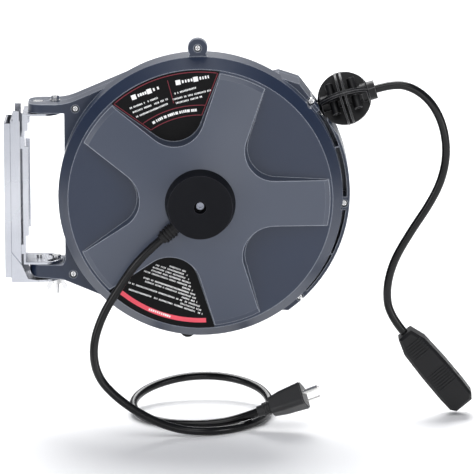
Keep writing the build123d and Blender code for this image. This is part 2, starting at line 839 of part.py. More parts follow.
with BuildPart() as plug_body:
    with BuildSketch(plug_plane.offset(relief_length)):
        RectangleRounded(20, 18, 4.5)
    with BuildSketch(plug_plane.offset(relief_length + 14)):
        RectangleRounded(24, 23, 5)
    with BuildSketch(plug_face.offset(-1.5)):
        RectangleRounded(27, 26, 5)
    loft(ruled=True)
    with BuildSketch(plug_face.offset(-1.5)):
        RectangleRounded(25.5, 24.5, 4.5)
    extrude(amount=1.5)

with BuildPart() as plug_blades:
    for side in (-1, 1):
        with BuildSketch(plug_face):
            with Locations((side * blade_gap / 2, blade_line)):
                Rectangle(1.5, 6.3)
        extrude(amount=16)
    with BuildSketch(plug_face):
        with Locations((0, pin_line)):
            Circle(2.4)
    extrude(amount=19.2)
    fillet(faces().sort_by(Axis(plug_start, plug_dir))[-1].edges(), 1.6)

# ---------------------------------------------------------------- triple outlet on the cord's end
socket_start = Vector(*outlet_route[-1])
socket_dir = (socket_start - Vector(*outlet_route[-2])).normalized()
socket_length, socket_thick = 106.0, 28.0
socket_plane = Plane(origin=socket_start, x_dir=socket_dir, z_dir=(0, -1, 0))
socket_outline = [
    (0, 8.9),
    (18, 15),
    (52, 16.5),
    (84, 16.5),
    (100, 15.6),
    (socket_length, 11),
]


def socket_holes(face, depth):
    """Two blade slots and a round earth hole, cut from a face into the body."""
    with BuildPart() as holes:
        with BuildSketch(face):
            for side in (-1, 1):
                with Locations((side * blade_gap / 2, -5.0)):
                    Rectangle(2, 7.4)
            with Locations((0, pin_offset - 5.0)):
                Circle(2.6)
        extrude(amount=-depth)
    return holes


side_outlet_at = 68.0
side_reach = socket_outline[2][1]
socket_side = socket_plane.y_dir
side_centre = socket_start + socket_dir * side_outlet_at
with BuildPart() as socket_body:
    with BuildSketch(socket_plane.offset(-socket_thick / 2)):
        Polygon(*socket_outline, *[(x, -y) for x, y in reversed(socket_outline)], align=None)
    extrude(amount=socket_thick)
    chamfer(faces().sort_by(Axis.Y)[0].edges() + faces().sort_by(Axis.Y)[-1].edges(), 3)
    end_face = Plane(
        origin=socket_start + socket_dir * socket_length, x_dir=(0, -1, 0), z_dir=socket_dir
    )
    add(socket_holes(end_face, 17.5).part, mode=Mode.SUBTRACT)
    for side in (-1, 1):
        outward = socket_side * side
        side_face = Plane(origin=side_centre + outward * side_reach, x_dir=(0, -1, 0), z_dir=outward)
        add(socket_holes(side_face, 14).part, mode=Mode.SUBTRACT)

# ---------------------------------------------------------------- wall bracket
carrier_x, carrier_rim_x = 7.1, 18.0
carrier_half, carrier_low, carrier_high = 24.0, -85.0, 90.0
yoke_x = 20.5                         # back face of the yoke's web
yoke_top, yoke_bottom = 86.8, -84.0   # outside faces of its flanges, from the drum axis
support_low, tab_x, tab_top = -103.6, 9.7, -60.0
flange_end_r = 26.0                   # rounded ends, about the swivel axis
slot_half_width = 3.3
plate_bolts = [(0, 40), (0, -30)]
tab_bolts = [(-10, -59), (10, -59)]
plate_bolt_r, tab_bolt_r = 4.0, 3.0


def swivel_flange(bottom, back, half_width):
    """Horizontal sheet with a rounded end, the pivot hole and the arc slot."""
    with BuildPart() as flange:
        with BuildSketch(Plane.XY.offset(hub_z + bottom)):
            with Locations((pivot_x, 0)):
                Circle(flange_end_r)
            with Locations((back + 50, 0)):
                Rectangle(100, 2 * half_width, mode=Mode.INTERSECT)
            with Locations(((back + pivot_x) / 2, 0)):
                Rectangle(pivot_x - back, 2 * half_width)
            with Locations((pivot_x, 0)):
                Circle(bolt_r + 0.02, mode=Mode.SUBTRACT)
                slot_middle = CenterArc((0, 0), lock_x - pivot_x, -slot_sweep, 2 * slot_sweep)
                SlotArc(slot_middle, 2 * slot_half_width, mode=Mode.SUBTRACT)
        extrude(amount=sheet)
    return flange


def upright_sheet(x, thickness, half_width, low, high, holes=(), hole_r=0):
    """Flat sheet facing the wall, between two heights from the plate's centre."""
    with BuildPart() as plate:
        with BuildSketch(Plane.YZ.offset(x)):
            with Locations((0, (low + high) / 2)):
                Rectangle(2 * half_width, high - low)
            for hole in holes:
                with Locations(hole):
                    Circle(hole_r, mode=Mode.SUBTRACT)
        extrude(amount=thickness)
    return plate


def side_walls(x, reach, half_width, low, high):
    """Pair of walls along a sheet's two upright edges."""
    with BuildPart() as walls:
        with BuildSketch(Plane.YZ.offset(x)):
            for side in (-1, 1):
                with Locations((side * (half_width - sheet / 2), (low + high) / 2)):
                    Rectangle(sheet, high - low)
        extrude(amount=reach)
    return walls


with BuildPart() as wall_plate:
    with BuildSketch(Plane.YZ):
        Rectangle(2 * plate_half_width, 2 * plate_half_height)
        with GridLocations(plate_screw_y, plate_screw_z, 2, 2):
            Circle(plate_hole_r, mode=Mode.SUBTRACT)
        with Locations(*plate_bolts):
            Circle(plate_bolt_r + 0.05, mode=Mode.SUBTRACT)
    extrude(amount=sheet)
    add(side_walls(0, carrier_x, plate_half_width, -plate_half_height, plate_half_height).part)

with BuildPart() as bracket_carrier:
    add(upright_sheet(carrier_x, sheet, carrier_half, carrier_low, carrier_high).part)
    add(side_walls(carrier_x, carrier_rim_x - carrier_x, carrier_half, carrier_low, carrier_high).part)
    add(side_walls(10, 7, carrier_half, carrier_high - 1, hub_z + 90).part)
    with BuildSketch(Plane.YZ.offset(carrier_x)):
        with Locations(*plate_bolts):
            Circle(plate_bolt_r + 0.05)
        with Locations(*tab_bolts):
            Circle(tab_bolt_r + 0.05)
    extrude(amount=sheet, mode=Mode.SUBTRACT)

with BuildPart() as swivel_yoke:
    add(upright_sheet(yoke_x, sheet, carrier_half, hub_z + yoke_bottom, hub_z + yoke_top).part)
    add(swivel_flange(yoke_top - sheet, yoke_x, carrier_half).part)
    add(swivel_flange(yoke_bottom, yoke_x, carrier_half).part)
    for low, high in ((-51, 50), (68, yoke_top - sheet)):
        add(side_walls(yoke_x + sheet, 3.7, carrier_half, hub_z + low, hub_z + high).part)
    for low, high in ((47.7, 61.5), (-72, -61)):
        pad = yoke_x - carrier_rim_x
        add(upright_sheet(carrier_rim_x, pad, carrier_half, hub_z + low, hub_z + high).part)

gusset_corners = [(7.1, -103.6), (7.1, -70), (18.5, -84), (25.5, -99.8), (36, -101.2), (36, -103.6)]
with BuildPart() as support_bracket:
    add(swivel_flange(support_low, tab_x, 26.6).part)
    tab_low, tab_high = hub_z + support_low, hub_z + tab_top
    add(upright_sheet(tab_x, sheet, 21, tab_low, tab_high, tab_bolts, tab_bolt_r + 0.05).part)
    for outside in (-24.6, 26.6):
        with BuildSketch(Plane(origin=(0, outside, hub_z), x_dir=(1, 0, 0), z_dir=(0, -1, 0))):
            Polygon(*gusset_corners, align=None)
        extrude(amount=2)


def wall_bolts(spots, radius, head_r, start, seat, head):
    """Round-headed bolts square to the wall, with their heads away from it."""
    with BuildPart() as bolts:
        with BuildSketch(Plane.YZ.offset(start)):
            with Locations(*spots):
                Circle(radius)
        extrude(amount=seat - start)
        with BuildSketch(Plane.YZ.offset(seat)):
            with Locations(*spots):
                Circle(head_r)
        extrude(amount=head)
        fillet(edges().filter_by(GeomType.CIRCLE).group_by(Axis.X)[-1], 1)
    return bolts


carrier_bolts = wall_bolts(plate_bolts, plate_bolt_r, 7, 0.3, carrier_x + sheet, 3.4)
support_bolts = wall_bolts(tab_bolts, tab_bolt_r, 5, 3, tab_x + sheet, 2.8)

# ---------------------------------------------------------------- swivel and lock bolts


def upright_bolt(x, shank_low, shank_high, head_low, head_high, head_r):
    """Bolt parallel to the swivel axis; heights are from the drum axis."""
    with BuildPart() as bolt:
        with BuildSketch(Plane.XY.offset(hub_z + shank_low)):
            with Locations((x, 0)):
                Circle(bolt_r)
        extrude(amount=shank_high - shank_low)
        with BuildSketch(Plane.XY.offset(hub_z + head_low)):
            with Locations((x, 0)):
                Circle(head_r)
        extrude(amount=head_high - head_low)
    return bolt


pivot_bolt_upper = upright_bolt(pivot_x, 80, 94.5, 94.3, 97.3, 6)
pivot_bolt_lower = upright_bolt(pivot_x, -104.5, -78, -106.6, -103.7, 5)
lock_bolt_upper = upright_bolt(lock_x, 82, 99, 97.6, 98.8, 6)
lock_stud = upright_bolt(lock_x, -122, -80, -81.2, -78, 5)
with BuildPart() as lock_bolt_head:
    with BuildSketch(Plane.XY.offset(hub_z + 98.8)):
        with Locations((lock_x, 0)):
            RegularPolygon(4.2, 6)
    extrude(amount=4.4)
    add(lock_bolt_upper.part)

wing_outline = [(3, -106), (7, -107), (12, -114), (10.5, -118.5), (7, -117), (4.5, -110.5)]
with BuildPart() as wing_nut:
    with BuildSketch(Plane.XY.offset(hub_z - 104)):
        with Locations((lock_x, 0)):
            Circle(5.5)
    extrude(amount=-7, taper=8)
    for side in (-1, 1):
        with BuildSketch(Plane(origin=(lock_x, 0, hub_z), x_dir=(1, 0, 0), z_dir=(0, -1, 0))):
            Polygon(*[(side * x, z) for x, z in wing_outline], align=None)
        extrude(amount=1.25, both=True)
    with BuildSketch(Plane.XY.offset(hub_z - 125)):
        with Locations((lock_x, 0)):
            Circle(bolt_r + 0.03)
    extrude(amount=40, mode=Mode.SUBTRACT)

# ---------------------------------------------------------------- write every piece
pieces = {
    "wall_plate": wall_plate,
    "bracket_carrier": bracket_carrier,
    "carrier_bolts": carrier_bolts,
    "swivel_yoke": swivel_yoke,
    "support_bracket": support_bracket,
    "support_bolts": support_bolts,
    "pivot_bolt_upper": pivot_bolt_upper,
    "pivot_bolt_lower": pivot_bolt_lower,
    "lock_bolt_upper": lock_bolt_head,
    "lock_stud": lock_stud,
    "wing_nut": wing_nut,
    "front_case": front_case,
    "rear_case": rear_case,
    "case_screws": case_screws,
    "bottom_bumper": bottom_bumper,
    "hub_cap": hub_cap,
    "hub_screw": hub_screw,
    "hub_strain_relief": hub_strain_relief,
    "upper_label": upper_label,
    "lower_label": lower_label,
    "axle": axle,
    "brush_holder": brush_holder,
    "brushes": brushes,
    "pawl": pawl,
    "pawl_pin": pawl_pin,
    "pawl_spring": pawl_spring,
    "drum_core": drum_core,
    "drum_front_flange": drum_front_flange,
    "drum_rear_flange": drum_rear_flange,
    "front_bush": front_bush,
    "rear_bush": rear_bush,
    "spring_case": spring_case,
    "spring_cover": spring_cover,
    "power_spring": power_spring,
    "slip_ring_carrier": slip_ring_carrier,
    "slip_rings": slip_rings,
    "ratchet_ring": ratchet_ring,
    "wound_cord": wound_cord,
    "outlet_frame": outlet_frame,
    "roller_above": roller_above,
    "roller_below": roller_below,
    "roller_front": roller_front,
    "roller_rear": roller_rear,
    "lead_in_cord": lead_in_cord,
    "stop_ball_upper": stop_ball_upper,
    "stop_ball_lower": stop_ball_lower,
    "stop_ball_screws": stop_ball_screws,
    "outlet_cord": outlet_cord,
    "socket_body": socket_body,
    "mains_lead": mains_lead,
    "plug_relief": plug_relief,
    "plug_body": plug_body,
    "plug_blades": plug_blades,
}
for name, piece in pieces.items():
    piece.part.label = name
    export_step(piece.part, "parts/" + name + ".step")
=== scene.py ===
import json
from math import atan2, cos, degrees, pi, radians, sin

import bmesh
import bpy
from mathutils import Matrix, Vector


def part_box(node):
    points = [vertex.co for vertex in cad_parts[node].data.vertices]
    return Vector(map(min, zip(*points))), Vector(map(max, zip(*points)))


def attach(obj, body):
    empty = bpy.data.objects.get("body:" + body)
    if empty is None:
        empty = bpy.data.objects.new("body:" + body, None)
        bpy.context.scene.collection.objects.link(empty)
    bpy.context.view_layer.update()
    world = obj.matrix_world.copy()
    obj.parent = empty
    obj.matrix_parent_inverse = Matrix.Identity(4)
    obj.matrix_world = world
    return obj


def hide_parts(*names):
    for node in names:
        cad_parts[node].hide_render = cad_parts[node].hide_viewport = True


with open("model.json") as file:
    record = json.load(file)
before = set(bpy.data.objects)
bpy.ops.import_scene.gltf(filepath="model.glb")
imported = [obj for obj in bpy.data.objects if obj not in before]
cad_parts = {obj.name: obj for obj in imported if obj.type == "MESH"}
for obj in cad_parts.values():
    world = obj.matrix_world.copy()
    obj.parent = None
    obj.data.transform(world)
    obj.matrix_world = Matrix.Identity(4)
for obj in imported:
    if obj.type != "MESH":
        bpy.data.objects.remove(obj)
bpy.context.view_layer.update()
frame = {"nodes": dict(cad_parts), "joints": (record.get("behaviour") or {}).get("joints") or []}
nodes = frame["nodes"]
hub = Vector(next(j for j in frame["joints"] if j["name"] == "drum_spin")["pos_m"])
mm = 0.001
print("stage: frame loaded,", len(nodes), "parts")

cameraView = {
    "elevation": 13.0,  # degrees above the hub's level
    "distance": 4.5,
    "lens": 310.7,
    "aim": (0.0402, -0.0754, -0.0406),  # from the hub
}
room = {
    "floorColour": (0.97, 0.97, 0.97),
    "floorRoughness": 0.9,
    "floorSize": 18.0,
    "skyColour": (0.42, 0.44, 0.5),
    "groundColour": (1.0, 1.0, 1.0),
    "worldStrength": 0.5,
    "exposure": 0.0,
}
softLights = {
    "overhead": {"at": (0.1, 1.9, 2.5), "size": 2.8, "power": 165},
    "front": {"at": (0.8, -3.0, 0.3), "size": 1.5, "power": 11},
    "left": {"at": (-1.7, -1.6, 0.5), "size": 0.9, "power": 10},
    "right": {"at": (2.1, -1.5, 0.2), "size": 0.8, "power": 9},
    "floorFill": {"at": (0.3, -1.9, 2.5), "size": 2.6, "power": 38},
}


def addCamera(view):
    camera = bpy.data.objects.new("camera", bpy.data.cameras.new("camera"))
    bpy.context.scene.collection.objects.link(camera)
    camera.data.lens = view["lens"]
    camera.data.clip_end = 50
    tilt = radians(view["elevation"])
    back = Vector((0, -cos(tilt), sin(tilt))) * view["distance"]
    camera.location = Vector((hub.x, 0, hub.z)) + Vector(view["aim"]) + back
    camera.rotation_euler = (pi / 2 - tilt, 0, 0)
    bpy.context.scene.camera = camera


def addRoom(look, floorHeight):
    world = bpy.data.worlds.new("studio")
    world.use_nodes = True
    tree = world.node_tree
    background = tree.nodes["Background"]
    background.inputs["Strength"].default_value = look["worldStrength"]
    direction = tree.nodes.new("ShaderNodeTexCoord")
    height = tree.nodes.new("ShaderNodeSeparateXYZ")
    fade = tree.nodes.new("ShaderNodeValToRGB")
    fade.color_ramp.elements[0].position = 0.0
    fade.color_ramp.elements[0].color = (*look["groundColour"], 1)
    fade.color_ramp.elements[1].position = 0.5
    fade.color_ramp.elements[1].color = (*look["skyColour"], 1)
    tree.links.new(direction.outputs["Generated"], height.inputs["Vector"])
    tree.links.new(height.outputs["Z"], fade.inputs["Fac"])
    tree.links.new(fade.outputs["Color"], background.inputs["Color"])
    bpy.context.scene.world = world
    half = look["floorSize"] / 2
    corners = [(x * half, y * half, floorHeight) for x, y in ((-1, -1), (1, -1), (1, 1), (-1, 1))]
    mesh = bpy.data.meshes.new("floor")
    mesh.from_pydata(corners, [], [(0, 1, 2, 3)])
    floor = bpy.data.objects.new("floor", mesh)
    bpy.context.scene.collection.objects.link(floor)
    plain = bpy.data.materials.new("floorPaint")
    plain.use_nodes = True
    shader = plain.node_tree.nodes["Principled BSDF"]
    shader.inputs["Base Color"].default_value = (*look["floorColour"], 1)
    shader.inputs["Roughness"].default_value = look["floorRoughness"]
    mesh.materials.append(plain)


def addSoftLight(name, spec):
    lamp = bpy.data.lights.new(name, "AREA")
    lamp.shape = "DISK"
    lamp.size = spec["size"]
    lamp.energy = spec["power"]
    lampObject = bpy.data.objects.new(name, lamp)
    bpy.context.scene.collection.objects.link(lampObject)
    lampObject.location = spec["at"]
    aim = Vector((hub.x, 0, hub.z)) - lampObject.location
    lampObject.rotation_euler = aim.to_track_quat("-Z", "Y").to_euler()


addCamera(cameraView)
addRoom(room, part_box("mains_lead")[0].z)
for lightName, lightSpec in softLights.items():
    addSoftLight(lightName, lightSpec)
bpy.context.scene.view_settings.view_transform = "Standard"
bpy.context.scene.view_settings.exposure = room["exposure"]
print("stage: camera and room")

# the cords follow the routes of the parts that they stand for; the routes are in mm
cordLook = {"radius": 4.7 * mm, "smoothness": 10, "roundness": 8}
outletRoute = [
    (411.927, 0, 121.425),
    (432.9, 0, 127.837),
    (455.5, -1, 122.5),
    (475, -1, 106),
    (487.5, -2, 81),
    (492, -2, 50.5),
    (487, -2, 20),
    (474, -1, -8),
    (452, 1, -42),
    (433, 2, -76),
    (425.5, 1, -108),
    (429.5, 0, -137),
    (446.5, 0, -157.5),
]
mainsRoute = [
    (175.489, -101, -26.216),
    (151.788, -101, -46.965),
    (130, -96, -80),
    (109.5, -98, -113.5),
    (99, -102, -148),
    (104, -106, -180),
    (125, -107, -204),
    (156, -103, -227),
    (193, -97, -244),
    (231, -93, -247),
    (266.5, -71.5, -247),
    (291, -33, -246),
    (297, 5, -241),
    (289, 31, -233),
    (266.5, 55.5, -228),
    (233.5, 68, -225),
    (197, 65.5, -226),
    (164, 49, -231),
    (144, 24, -237),
    (139.5, -7, -242),
    (152, -35, -246),
    (175, -55, -247),
    (201, -63, -247),
    (229, -62.5, -246.5),
    (256, -58, -243.5),
    (282, -61, -232.8),
]


def layCord(name, route, look):
    curve = bpy.data.curves.new(name, "CURVE")
    curve.dimensions = "3D"
    curve.bevel_depth = look["radius"]
    curve.bevel_resolution = look["roundness"]
    curve.resolution_u = look["smoothness"]
    curve.use_fill_caps = True
    spline = curve.splines.new("NURBS")
    spline.points.add(len(route) - 1)
    for point, place in zip(spline.points, route):
        point.co = (*(Vector(place) * mm), 1)
    spline.order_u = 3
    spline.use_endpoint_u = True
    cord = bpy.data.objects.new(name, curve)
    bpy.context.scene.collection.objects.link(cord)
    return cord


outletCord = layCord("outletCord", outletRoute, cordLook)
mainsLead = layCord("mainsLead", mainsRoute, cordLook)
print("stage: cords laid")


def startTree(name, treeKind, inputs, outputs):
    # a node group with its sockets: name, kind and, for an input, its value
    tree = bpy.data.node_groups.new(name, treeKind)
    for socketName, kind in outputs:
        tree.interface.new_socket(socketName, in_out="OUTPUT", socket_type=kind)
    for socketName, kind, value in inputs:
        socket = tree.interface.new_socket(socketName, in_out="INPUT", socket_type=kind)
        if value is not None:
            socket.default_value = value
    return tree


grainLook = {"detail": 4, "bumpDistance": 0.0004, "cloudScale": 14, "cloudDetail": 3}
edgeHighlightAndWearLook = {
    "width": 0.0008,
    "samples": 6,
    "flatFrom": 0.995,  # cosine between the true and the rounded normal
    "fullEdgeAt": 0.88,
    "breakUpScale": 160,
    "leastKept": 0.5,
}


def fineGrainGroup():
    # moulded or cast grain: a normal, and how rough each spot is
    tree = startTree(
        "fineGrain",
        "ShaderNodeTree",
        inputs=(
            ("Size", "NodeSocketFloat", 900),
            ("Strength", "NodeSocketFloat", 0.2),
            ("Roughness", "NodeSocketFloat", 0.5),
            ("Spread", "NodeSocketFloat", 0.08),
        ),
        outputs=(
            ("Normal", "NodeSocketVector"),
            ("Roughness", "NodeSocketFloat"),
            ("Cloud", "NodeSocketFloat"),
        ),
    )
    new, link = tree.nodes.new, tree.links.new
    start, end = new("NodeGroupInput"), new("NodeGroupOutput")
    place = new("ShaderNodeTexCoord")
    grain = new("ShaderNodeTexNoise")
    grain.inputs["Detail"].default_value = grainLook["detail"]
    link(place.outputs["Object"], grain.inputs["Vector"])
    link(start.outputs["Size"], grain.inputs["Scale"])
    bump = new("ShaderNodeBump")
    bump.inputs["Distance"].default_value = grainLook["bumpDistance"]
    link(start.outputs["Strength"], bump.inputs["Strength"])
    link(grain.outputs["Fac"], bump.inputs["Height"])
    cloud = new("ShaderNodeTexNoise")
    cloud.inputs["Scale"].default_value = grainLook["cloudScale"]
    cloud.inputs["Detail"].default_value = grainLook["cloudDetail"]
    link(place.outputs["Object"], cloud.inputs["Vector"])
    centre = new("ShaderNodeMath")
    centre.operation = "SUBTRACT"
    centre.inputs[1].default_value = 0.5
    link(cloud.outputs["Fac"], centre.inputs[0])
    rough = new("ShaderNodeMath")
    rough.operation = "MULTIPLY_ADD"
    link(centre.outputs[0], rough.inputs[0])
    link(start.outputs["Spread"], rough.inputs[1])
    link(start.outputs["Roughness"], rough.inputs[2])
    link(bump.outputs["Normal"], end.inputs["Normal"])
    link(rough.outputs[0], end.inputs["Roughness"])
    link(cloud.outputs["Fac"], end.inputs["Cloud"])
    return tree


def edgeHighlightAndWearGroup():
    # 1 along convex edges, broken up by noise, 0 on the flats: the mask that lays each finish's
    # edgeColour, a painted highlight where that colour is lighter than the finish, darker edges where
    # it is darker
    tree = startTree(
        "edgeWear",
        "ShaderNodeTree",
        inputs=(("Width", "NodeSocketFloat", edgeHighlightAndWearLook["width"]), ("Break Up", "NodeSocketFloat", 0.5)),
        outputs=(("Mask", "NodeSocketFloat"),),
    )
    new, link = tree.nodes.new, tree.links.new
    start, end = new("NodeGroupInput"), new("NodeGroupOutput")
    rounded = new("ShaderNodeBevel")
    rounded.samples = edgeHighlightAndWearLook["samples"]
    link(start.outputs["Width"], rounded.inputs["Radius"])
    sharp = new("ShaderNodeNewGeometry")
    dot = new("ShaderNodeVectorMath")
    dot.operation = "DOT_PRODUCT"
    link(rounded.outputs["Normal"], dot.inputs[0])
    link(sharp.outputs["Normal"], dot.inputs[1])
    edge = new("ShaderNodeMapRange")
    edge.inputs["From Min"].default_value = edgeHighlightAndWearLook["flatFrom"]
    edge.inputs["From Max"].default_value = edgeHighlightAndWearLook["fullEdgeAt"]
    link(dot.outputs["Value"], edge.inputs["Value"])
    place = new("ShaderNodeTexCoord")
    breakUpNoise = new("ShaderNodeTexNoise")
    breakUpNoise.inputs["Scale"].default_value = edgeHighlightAndWearLook["breakUpScale"]
    link(place.outputs["Object"], breakUpNoise.inputs["Vector"])
    keep = new("ShaderNodeMath")
    keep.operation = "MULTIPLY_ADD"
    link(breakUpNoise.outputs["Fac"], keep.inputs[0])
    link(start.outputs["Break Up"], keep.inputs[1])
    keep.inputs[2].default_value = edgeHighlightAndWearLook["leastKept"]
    mask = new("ShaderNodeMath")
    mask.operation = "MULTIPLY"
    mask.use_clamp = True
    link(edge.outputs["Result"], mask.inputs[0])
    link(keep.outputs[0], mask.inputs[1])
    link(mask.outputs[0], end.inputs["Mask"])
    return tree


fineGrain = fineGrainGroup()
edgeWear = edgeHighlightAndWearGroup()

# each finish's edgeColour is laid along its edges through the edge mask: where it is lighter than the
# colour it is a painted highlight, on the zinc and the bright screws it gives darker edges
finishes = {
    "shellPaint": {
        "colour": (0.006, 0.014, 0.038),
        "cloudColour": (0.010, 0.020, 0.048),
        "edgeColour": (0.6, 0.64, 0.72),
        "edge": 0.75,
        "roughness": 0.33,
        "spread": 0.12,
        "grain": 1500,
        "bump": 0.12,
        "gloss": 0.54,
        # the colour of the raised faces is painted light: the star lighter than the pocket floors,
        # which stay darker as painted shade
        "raisedLitColour": (0.052, 0.063, 0.093),
        "edgeWidth": 0.0016,
        "raisedAbove": 0.0697,  # metres in front of the parting plane
        "raisedFade": 0.0012,
        "metallic": 0.0,
    },
    "blackNylon": {
        "colour": (0.004, 0.004, 0.0045),
        "cloudColour": (0.008, 0.008, 0.009),
        "edgeColour": (0.3, 0.3, 0.31),
        "edge": 0.8,
        "roughness": 0.45,
        "spread": 0.1,
        "grain": 1300,
        "bump": 0.15,
        "gloss": 0.3,
        "metallic": 0.0,
    },
    "hubPlastic": {
        "colour": (0.0025, 0.0028, 0.0045),
        "cloudColour": (0.007, 0.0075, 0.01),
        "edgeColour": (0.08, 0.08, 0.09),
        "edge": 0.6,
        "roughness": 0.5,
        "spread": 0.1,
        "grain": 1500,
        "bump": 0.15,
        "gloss": 0.1,
        "metallic": 0.0,
    },
    "softRubber": {
        "colour": (0.004, 0.004, 0.0045),
        "cloudColour": (0.008, 0.008, 0.009),
        "edgeColour": (0.05, 0.05, 0.052),
        "edge": 0.3,
        "roughness": 0.45,
        "spread": 0.12,
        "grain": 1100,
        "bump": 0.2,
        "gloss": 0.25,
        "metallic": 0.0,
    },
    "plugVinyl": {
        "colour": (0.016, 0.016, 0.017),
        "cloudColour": (0.023, 0.023, 0.024),
        "edgeColour": (0.12, 0.12, 0.12),
        "edge": 0.4,
        "roughness": 0.42,
        "spread": 0.12,
        "grain": 1100,
        "bump": 0.15,
        "gloss": 0.4,
        "metallic": 0.0,
    },
    "zincPlate": {
        "colour": (0.36, 0.375, 0.42),
        "cloudColour": (0.72, 0.73, 0.77),
        "edgeColour": (0.09, 0.1, 0.12),
        "edge": 0.85,
        "roughness": 0.26,
        "spread": 0.16,
        "grain": 420,
        "bump": 0.06,
        "gloss": 0.5,
        "metallic": 1.0,
    },
    "brightScrew": {
        "colour": (0.68, 0.68, 0.68),
        "cloudColour": (0.78, 0.78, 0.78),
        "edgeColour": (0.12, 0.12, 0.13),
        "edge": 0.6,
        "roughness": 0.24,
        "spread": 0.1,
        "grain": 700,
        "bump": 0.05,
        "gloss": 0.5,
        "metallic": 1.0,
    },
    "blueSpringSteel": {
        "colour": (0.2, 0.22, 0.27),
        "cloudColour": (0.27, 0.28, 0.32),
        "edgeColour": (0.5, 0.5, 0.52),
        "edge": 0.4,
        "roughness": 0.3,
        "spread": 0.12,
        "grain": 600,
        "bump": 0.05,
        "gloss": 0.5,
        "metallic": 1.0,
    },
    "turnedBrass": {
        "colour": (0.72, 0.53, 0.22),
        "cloudColour": (0.8, 0.6, 0.28),
        "edgeColour": (0.9, 0.75, 0.4),
        "edge": 0.3,
        "roughness": 0.28,
        "spread": 0.1,
        "grain": 500,
        "bump": 0.05,
        "gloss": 0.5,
        "metallic": 1.0,
    },
    "sinteredBronze": {
        "colour": (0.45, 0.28, 0.13),
        "cloudColour": (0.55, 0.36, 0.18),
        "edgeColour": (0.7, 0.5, 0.3),
        "edge": 0.3,
        "roughness": 0.45,
        "spread": 0.1,
        "grain": 1500,
        "bump": 0.3,
        "gloss": 0.5,
        "metallic": 1.0,
    },
    "naturalNylon": {
        "colour": (0.72, 0.7, 0.62),
        "cloudColour": (0.78, 0.76, 0.7),
        "edgeColour": (0.85, 0.84, 0.8),
        "edge": 0.2,
        "roughness": 0.45,
        "spread": 0.1,
        "grain": 900,
        "bump": 0.1,
        "gloss": 0.4,
        "metallic": 0.0,
    },
    "pressedCarbon": {
        "colour": (0.03, 0.03, 0.03),
        "cloudColour": (0.05, 0.05, 0.05),
        "edgeColour": (0.12, 0.12, 0.12),
        "edge": 0.3,
        "roughness": 0.6,
        "spread": 0.1,
        "grain": 1800,
        "bump": 0.3,
        "gloss": 0.3,
        "metallic": 0.0,
    },
    "labelFilm": {
        "colour": (0.0025, 0.0025, 0.003),
        "cloudColour": (0.005, 0.005, 0.0055),
        "edgeColour": (0.03, 0.03, 0.03),
        "edge": 0.2,
        "roughness": 0.38,
        "spread": 0.06,
        "grain": 2200,
        "bump": 0.04,
        "gloss": 0.1,
        "metallic": 0.0,
    },
    "whiteInk": {
        "colour": (0.8, 0.8, 0.8),
        "cloudColour": (0.9, 0.9, 0.9),
        "edgeColour": (0.9, 0.9, 0.9),
        "edge": 0.1,
        "roughness": 0.45,
        "spread": 0.06,
        "grain": 2200,
        "bump": 0.03,
        "gloss": 0.3,
        "metallic": 0.0,
    },
    "redInk": {
        "colour": (0.75, 0.075, 0.115),
        "cloudColour": (0.85, 0.1, 0.14),
        "edgeColour": (0.8, 0.15, 0.18),
        "edge": 0.1,
        "roughness": 0.4,
        "spread": 0.06,
        "grain": 2200,
        "bump": 0.03,
        "gloss": 0.3,
        "metallic": 0.0,
    },
    "darkRedInk": {
        "colour": (0.15, 0.012, 0.026),
        "cloudColour": (0.19, 0.018, 0.034),
        "edgeColour": (0.5, 0.08, 0.1),
        "edge": 0.1,
        "roughness": 0.4,
        "spread": 0.06,
        "grain": 2200,
        "bump": 0.03,
        "gloss": 0.3,
        "metallic": 0.0,
    },
    "cordJacket": {
        "colour": (0.0025, 0.0025, 0.003),
        "cloudColour": (0.004, 0.004, 0.0045),
        "edgeColour": (0.05, 0.05, 0.05),
        "edge": 0.0,
        "roughness": 0.22,
        "spread": 0.12,
        "grain": 1600,
        "bump": 0.08,
        "gloss": 0.3,
        "metallic": 0.0,
    },
    "nickelPlate": {
        "colour": (0.82, 0.81, 0.78),
        "cloudColour": (0.88, 0.87, 0.85),
        "edgeColour": (0.95, 0.95, 0.94),
        "edge": 0.3,
        "roughness": 0.2,
        "spread": 0.1,
        "grain": 800,
        "bump": 0.04,
        "gloss": 0.5,
        "metallic": 1.0,
    },
}


